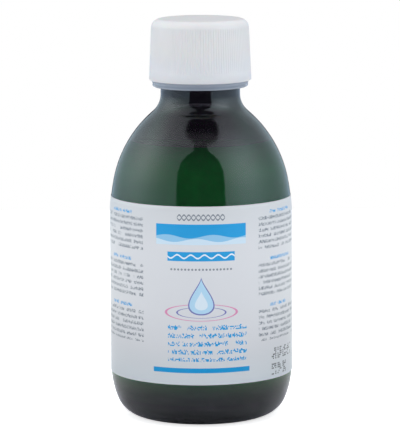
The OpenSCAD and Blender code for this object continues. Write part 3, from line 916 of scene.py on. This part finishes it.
# %% Outer shell
shell_low, shell_high, rim_r = box["outer_shell"][0].z, box["outer_shell"][1].z, box["outer_shell"][1].x
DRAFT = 2.45
SHELL_T, TOP_T, LIP_T, LIP_H, EDGE = 0.75 * MM, 1.2 * MM, 0.6 * MM, 2.2 * MM, 0.2 * MM
CORNER, UNDER = 3.0 * MM, 1.6 * MM
SIDE_STEPS, CORNER_STEPS, UNDER_STEPS = 6, 14, 8
GROOVES, COLUMNS_EACH, GROOVE_LOW, GROOVE_END = 120, 6, 3.05 * MM, 0.15 * MM
CATCH_R, CATCH_H, CATCH_TOP = 14.65 * MM, 0.4 * MM, 3.95 * MM


def side_r(z):
    """Outer radius of the shell's leaning side."""
    return rim_r - (z - shell_low - EDGE) * math.tan(math.radians(DRAFT))


lean_share = math.cos(math.radians(DRAFT))
under_z = shell_high - TOP_T
corner_c = (side_r(shell_high - CORNER) - CORNER / lean_share, shell_high - CORNER)
under_c = (side_r(under_z - UNDER) - SHELL_T - UNDER / lean_share, under_z - UNDER)
lip_in = side_r(shell_low) - LIP_T
lip_top, groove_low = shell_low + LIP_H, shell_low + GROOVE_LOW
catch_high, catch_low = shell_low + CATCH_TOP, shell_low + CATCH_TOP - CATCH_H
catch_root = side_r(catch_low) - SHELL_T
side_rows = [corner_c[1] + (groove_low - corner_c[1]) * i / SIDE_STEPS for i in range(1, SIDE_STEPS)]
side_rows += [groove_low + GROOVE_END, groove_low, shell_low + EDGE]
shell_strokes = [
    (corner_c[0], shell_high),
    (corner_c, DRAFT - 90, CORNER_STEPS),
    *[(side_r(z), z) for z in side_rows],
    (side_r(shell_low) - EDGE, shell_low),
    (lip_in, shell_low),
    (lip_in, lip_top),
    (side_r(lip_top) - SHELL_T, lip_top + lip_in - side_r(lip_top) + SHELL_T),
    (catch_root, catch_low - (catch_root - CATCH_R)),
    (CATCH_R, catch_low),
    (CATCH_R, catch_high),
    (side_r(catch_high) - SHELL_T, catch_high),
    from_centre(under_c, UNDER, DRAFT),
    (under_c, 90 - DRAFT, UNDER_STEPS),
    (0, under_z),
]
face_columns = GROOVES * COLUMNS_EACH
shell = turned("ribbed_outer_shell", (0, shell_high), shell_strokes, face_columns, smooth_below=50)

# %% [markdown]
# The grooves give the fingers a hold. In each, one line of points is pressed in by a tenth of a
# millimetre and its two neighbours by a little less. The skirt below the grooves stays smooth.

# %% Grooves
GROOVE_CUT = [0.10 * MM, 0.075 * MM, 0, 0, 0, 0.075 * MM]
SLACK = 0.01 * MM
pressed = 0
for corner in shell.data.vertices:
    x, y, z = corner.co
    r = math.hypot(x, y)
    column = round(math.atan2(y, x) / math.tau * face_columns) % COLUMNS_EACH
    deepest = side_r(z) - GROOVE_CUT[column]
    if z > groove_low + GROOVE_END / 2 and deepest < r < side_r(z) + SLACK:
        corner.co.x *= deepest / r
        corner.co.y *= deepest / r
        pressed += 1
print("pressed in", pressed, "points of", GROOVES, "grooves")

# %% [markdown]
# Under the shell's top are the parts that make the closure child-resistant. Twelve lugs, upright on
# one side and sloped on the other, drive the inner cap once the shell is pushed down; turned back, they
# ride over it. Six leaf springs lift the shell again. One of each is drawn and spun round in copies.

# %% Lugs and springs
LUGS, LUG_H, LUG_W, LUG_SLOPE, DRIVE_GAP = 12, 1.2 * MM, 2.0 * MM, 0.8 * MM, 0.15 * MM
LUG_NEAR, LUG_FAR, SUNK = 9.3 * MM, 12.6 * MM, 0.35 * MM
SPRINGS, SPRING_W, SPRING_L, SPRING_T = 6, 2.0 * MM, 4.4 * MM, 0.5 * MM
SPRING_ROOT, SPRING_NEAR = 0.8 * MM, 4.6 * MM


def ring_of_bars(name, corners, near, far, count):
    """Bars with a drawn section, from one radius out to another, copied round the axis."""
    bars = start_outline(name, *corners[0])
    draw(corners[0], corners[1:])
    bpy.ops.mesh.select_all(action="SELECT")
    bpy.ops.mesh.edge_face_add()
    bpy.ops.transform.translate(value=(0, -near, 0))
    bpy.ops.mesh.extrude_region_move(TRANSFORM_OT_translate={"value": (0, near - far, 0)})
    bpy.ops.mesh.select_all(action="SELECT")
    bpy.ops.mesh.normals_make_consistent(inside=False)
    bpy.ops.transform.rotate(value=math.radians(-90), orient_axis="Z", center_override=(0, 0, 0))
    bpy.ops.mesh.spin(steps=count - 1, dupli=True, angle=math.tau * (count - 1) / count, center=(0, 0, 0),
                      axis=(0, 0, 1))
    bpy.ops.object.mode_set(mode="OBJECT")
    print(name, "have", len(bars.data.polygons), "faces, in", count, "bars")
    return bars


lug_corners = [(-DRIVE_GAP, under_z + SUNK), (-DRIVE_GAP, under_z - LUG_H),
               (-DRIVE_GAP - LUG_W + LUG_SLOPE, under_z - LUG_H), (-DRIVE_GAP - LUG_W, under_z),
               (-DRIVE_GAP - LUG_W, under_z + SUNK)]
spring_corners = [(-SPRING_ROOT, under_z + SUNK), (0, under_z + SUNK), (SPRING_L, under_z + SPRING_T - LUG_H),
                  (SPRING_L, under_z - LUG_H), (-SPRING_ROOT, under_z - SPRING_T)]
lugs = ring_of_bars("lugs", lug_corners, LUG_NEAR, LUG_FAR, LUGS)
springs = ring_of_bars("springs", spring_corners, SPRING_NEAR, SPRING_NEAR + SPRING_W, SPRINGS)
bpy.ops.object.select_all(action="DESELECT")
for piece in (shell, lugs, springs):
    piece.select_set(True)
bpy.context.view_layer.objects.active = shell
bpy.ops.object.join()
print("the whole shell has", len(shell.data.polygons), "faces")

# %% [markdown]
# White polypropylene off a spark-eroded mould has a satin skin: a fine even grain, far too small to
# see, so it is drawn a little coarser here. Thin places let some light into the plastic, and the
# foot of the skirt gets painted shade: a slightly cooler, darker tone.

# %% Finish of the shell
SKIRT_HIGH, SKIRT_LOW, SKIRT_SHADE_SHARE = shell_low + 10 * MM, shell_low + 4 * MM, 0.8
white_pp, add, shader = new_finish("white_moulded_polypropylene", "#e6e8ea", 0.42, 1.49)
shader.inputs["Subsurface Weight"].default_value = 0.15
shader.inputs["Subsurface Scale"].default_value = 1 * MM
place = add("ShaderNodeTexCoord").outputs["Object"]
flow = add("ShaderNodeTexNoise", [("Vector", place), ("Scale", 1 / (9 * MM)), ("Detail", 2.0)])
tone = add("ShaderNodeMix", [("Factor", flow), ("A", srgb("#e0dfe0")), ("B", srgb("#e6e4e4"))],
           data_type="RGBA")
spot = add("ShaderNodeSeparateXYZ", [(0, place)])
# Painted shade: the foot of the skirt is mixed towards a cooler, darker tone.
skirt = add("ShaderNodeMapRange",
            [("Value", spot.outputs["Z"]), ("From Min", SKIRT_HIGH), ("From Max", SKIRT_LOW),
             ("To Max", SKIRT_SHADE_SHARE)], interpolation_type="SMOOTHSTEP")
tone = add("ShaderNodeMix", [("Factor", skirt), ("A", tone), ("B", srgb("#dfe0e4"))], data_type="RGBA")
satin = add("ShaderNodeMapRange", [("Value", flow), ("To Min", 0.36), ("To Max", 0.48)])
grain = relief(add, place, size=0.22 * MM, depth=0.008 * MM)
feed(shader, [("Base Color", tone), ("Roughness", satin), ("Normal", grain)])
give(shell, white_pp)
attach(shell, "outer_shell")
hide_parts("outer_shell")

# %% [markdown]
# The inner cap and the tamper band are moulded in one shot in the same plastic without pigment, and
# are milky and bluish. Their CAD shapes are right as they are, so they only get the finish: partly
# clear, with cloudy patches where the plastic cooled at a different speed. The band's fine groove
# is painted shade, a darker line in its tone, and its ridges are relief.

# %% Natural polypropylene
GROOVE_Z, GROOVE_NEAR, GROOVE_OFF = box["tamper_band"][0].z + 0.8 * MM, 0.12 * MM, 0.45 * MM
RIDGE_PITCH, RIDGE_H = 1.25 * MM, 0.14 * MM
natural_pp, add, shader = new_finish("natural_polypropylene", "#c2d8f2", 0.22, 1.49)
shader.inputs["Transmission Weight"].default_value = 0.6
place = add("ShaderNodeTexCoord").outputs["Object"]
clouds = add("ShaderNodeTexNoise", [("Vector", place), ("Scale", 1 / (5 * MM)), ("Detail", 3.0)])
tone = add("ShaderNodeMix", [("Factor", clouds), ("A", srgb("#ced8ea")), ("B", srgb("#dce5f3"))],
           data_type="RGBA")
spot = add("ShaderNodeSeparateXYZ", [(0, place)])
# Painted shade: a darker line of tone marks the band's fine groove.
to_groove = add("ShaderNodeMath", [(0, spot.outputs["Z"]), (1, GROOVE_Z)], operation="SUBTRACT")
off_groove = add("ShaderNodeMath", [(0, to_groove)], operation="ABSOLUTE")
groove_painted_shade = add("ShaderNodeMapRange",
                [("Value", off_groove), ("From Min", GROOVE_OFF), ("From Max", GROOVE_NEAR)],
                interpolation_type="SMOOTHSTEP")
tone = add("ShaderNodeMix", [("Factor", groove_painted_shade), ("A", tone), ("B", srgb("#bccadf"))], data_type="RGBA")
ridge_turn = add("ShaderNodeMath",
                 [(0, spot.outputs["Z"]), (1, math.tau / RIDGE_PITCH),
                  (2, -math.tau * GROOVE_Z / RIDGE_PITCH)], operation="MULTIPLY_ADD")
ridge = add("ShaderNodeMath", [(0, ridge_turn)], operation="SINE")
grain = relief(add, place, size=0.25 * MM, depth=0.006 * MM)
ridges = add("ShaderNodeBump", [("Height", ridge), ("Distance", RIDGE_H / 2), ("Normal", grain)])
feed(shader, [("Base Color", tone), ("Normal", ridges)])
give(frame["nodes"]["inner_cap"], natural_pp)
give(frame["nodes"]["tamper_band"], natural_pp)

# %% [markdown]
# The liner is a disc cut from foamed polyethylene. Its skin is closed, and the cells under it show
# as fine round dimples.

# %% Liner foam
liner_foam, add, shader = new_finish("foamed_polyethylene", "#e8e8e2", 0.7, 1.51)
place = add("ShaderNodeTexCoord").outputs["Object"]
cells = add("ShaderNodeTexVoronoi", [("Vector", place), ("Scale", 1 / (0.45 * MM))])
tone = add("ShaderNodeMix", [("Factor", cells), ("A", srgb("#dcdcd4")), ("B", srgb("#efefea"))],
           data_type="RGBA")
dimples = add("ShaderNodeBump", [("Height", cells), ("Distance", 0.05 * MM)])
feed(shader, [("Base Color", tone), ("Normal", dimples)])
give(frame["nodes"]["liner"], liner_foam)

# %% Sizes
low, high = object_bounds()
print("visual size in mm:", [round((b - a) / MM, 2) for a, b in zip(low, high)])
